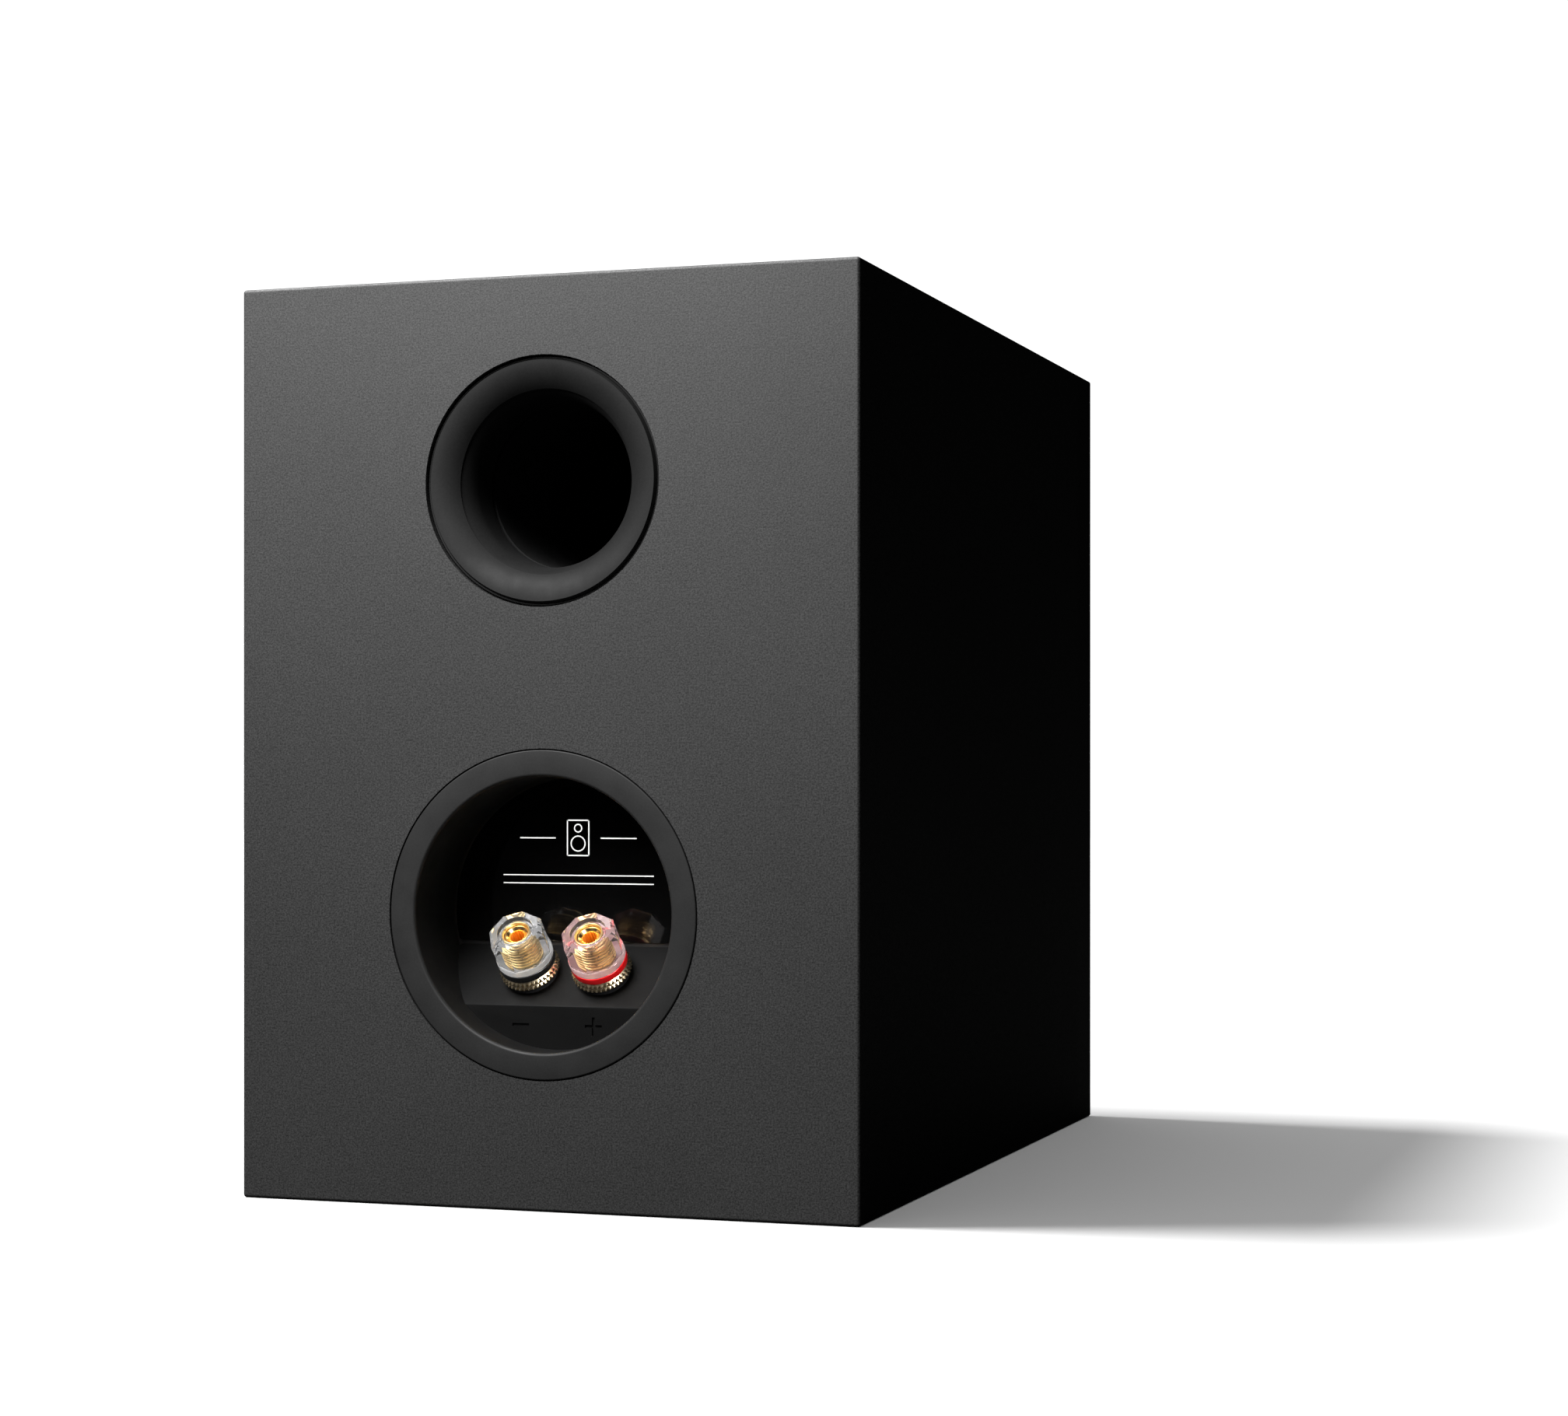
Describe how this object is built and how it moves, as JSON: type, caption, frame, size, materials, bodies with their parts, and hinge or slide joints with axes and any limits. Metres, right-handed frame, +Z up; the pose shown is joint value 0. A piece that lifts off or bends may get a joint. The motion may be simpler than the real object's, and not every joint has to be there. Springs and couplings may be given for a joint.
{
  "type": "bookshelf speaker",
  "caption": "Compact two-way bookshelf loudspeaker with a rear bass-reflex port, a recessed terminal cup and screw-down binding posts.",
  "frame": {"origin": "centre of the underside of the cabinet", "axes": "+Z up, the drivers face -Y and the port and terminals face +Y, +X to the right seen from the front"},
  "size_m": [0.16, 0.242, 0.225],
  "materials": {
    "cabinet_board": "fine-grained charcoal vinyl wrap over fibreboard, satin",
    "baffle_board": "fine-grained black vinyl wrap over fibreboard, satin",
    "raw_board": "bare fibreboard",
    "moulded_black": "satin black moulded plastic",
    "label_gloss": "gloss black plate",
    "soft_black": "matt black rubber",
    "foam_gasket": "closed-cell foam",
    "gold": "gold-plated brass, polished",
    "brass_tag": "tinned brass",
    "nylon_black": "black nylon",
    "clear": "clear acrylic, polished",
    "ring_black": "gloss black plastic",
    "ring_red": "gloss red plastic",
    "basket_coat": "satin black powder coat",
    "cone_fibre": "dark grey filled polypropylene, finely textured",
    "dust_cap": "satin black",
    "former_foil": "aluminium foil",
    "copper_wire": "enamelled copper winding",
    "spider_cloth": "resin-treated woven cotton",
    "steel_plate": "zinc-plated steel",
    "ferrite": "ground ferrite",
    "screw_black": "black oxide steel",
    "board_paper": "brown laminate",
    "silk_dome": "coated silk, satin black",
    "board_green": "green circuit board",
    "capacitor_sleeve": "plastic sleeve",
    "resistor_cement": "white ceramic",
    "lead_braid": "braided copper",
    "wire_red": "red insulation",
    "wire_black": "black insulation",
    "wadding": "white polyester wadding"
  },
  "bodies": {
    "cabinet": {"bottom_panel": "cabinet_board", "right_panel": "cabinet_board", "top_panel": "cabinet_board", "left_panel": "cabinet_board", "rear_panel": "cabinet_board", "front_baffle": "baffle_board", "cabinet_brace": "raw_board", "port_flare": "moulded_black", "port_duct": "moulded_black", "terminal_cup": "moulded_black", "terminal_label": "label_gloss", "rear_gaskets": "foam_gasket", "driver_gaskets": "foam_gasket", "grille_sockets": "soft_black", "wadding_pads": "wadding", "post_studs": "gold", "post_insulators": "nylon_black", "post_collars": "gold", "post_inner_insulators": "nylon_black", "post_lugs": "brass_tag", "post_nuts": "gold", "woofer_basket": "basket_coat", "woofer_trim_ring": "soft_black", "woofer_surround": "soft_black", "woofer_spider": "spider_cloth", "woofer_screws": "screw_black", "woofer_top_plate": "steel_plate", "woofer_magnet": "ferrite", "woofer_yoke": "steel_plate", "woofer_leads": "lead_braid", "tag_boards": "board_paper", "connector_tags": "brass_tag", "tweeter_faceplate": "moulded_black", "tweeter_surround": "silk_dome", "tweeter_screws": "screw_black", "tweeter_top_plate": "steel_plate", "tweeter_magnet": "ferrite", "tweeter_back_plate": "steel_plate", "crossover_board": "board_green", "crossover_spacers": "nylon_black", "crossover_screws": "screw_black", "crossover_coils": "copper_wire", "crossover_capacitors": "capacitor_sleeve", "crossover_resistors": "resistor_cement", "wires_negative": "wire_black", "wires_positive": "wire_red"},
    "woofer_piston": {"woofer_cone": "cone_fibre", "woofer_dust_cap": "dust_cap", "woofer_former": "former_foil", "woofer_coil": "copper_wire"},
    "tweeter_piston": {"tweeter_dome": "silk_dome", "tweeter_coil": "copper_wire"},
    "clamp_neg": {"clamp_washer_neg": "gold"},
    "knob_neg": {"post_knob_neg": "clear", "post_insert_neg": "gold", "post_ring_neg": "ring_black"},
    "clamp_pos": {"clamp_washer_pos": "gold"},
    "knob_pos": {"post_knob_pos": "clear", "post_insert_pos": "gold", "post_ring_pos": "ring_red"}
  },
  "joints": [
    {"name": "woofer_travel", "type": "slide", "parent": "cabinet", "child": "woofer_piston", "axis": [0, -1, 0], "range_m": [-0.004, 0.004], "stiffness_N_per_m": 1200, "deforming": ["woofer_surround", "woofer_spider", "woofer_leads"]},
    {"name": "tweeter_travel", "type": "slide", "parent": "cabinet", "child": "tweeter_piston", "axis": [0, -1, 0], "range_m": [-0.0004, 0.0004], "stiffness_N_per_m": 400, "deforming": ["tweeter_surround"]},
    {"name": "clamp_slide_neg", "type": "slide", "parent": "cabinet", "child": "clamp_neg", "axis": [0, 0.7071, 0.7071], "range_m": [0, 0.005]},
    {"name": "knob_turn_neg", "type": "hinge", "parent": "clamp_neg", "child": "knob_neg", "pos_m": [0.0095, 0.11072, 0.06302], "axis": [0, 0.7071, 0.7071], "range_deg": [0, 1800]},
    {"name": "clamp_slide_pos", "type": "slide", "parent": "cabinet", "child": "clamp_pos", "axis": [0, 0.7071, 0.7071], "range_m": [0, 0.005]},
    {"name": "knob_turn_pos", "type": "hinge", "parent": "clamp_pos", "child": "knob_pos", "pos_m": [-0.0095, 0.11072, 0.06302], "axis": [0, 0.7071, 0.7071], "range_deg": [0, 1800]}
  ],
  "couplings": [
    {"joint": "knob_turn_neg", "follows": "clamp_slide_neg", "rad_per_m": 6283.2},
    {"joint": "knob_turn_pos", "follows": "clamp_slide_pos", "rad_per_m": 6283.2}
  ]
}
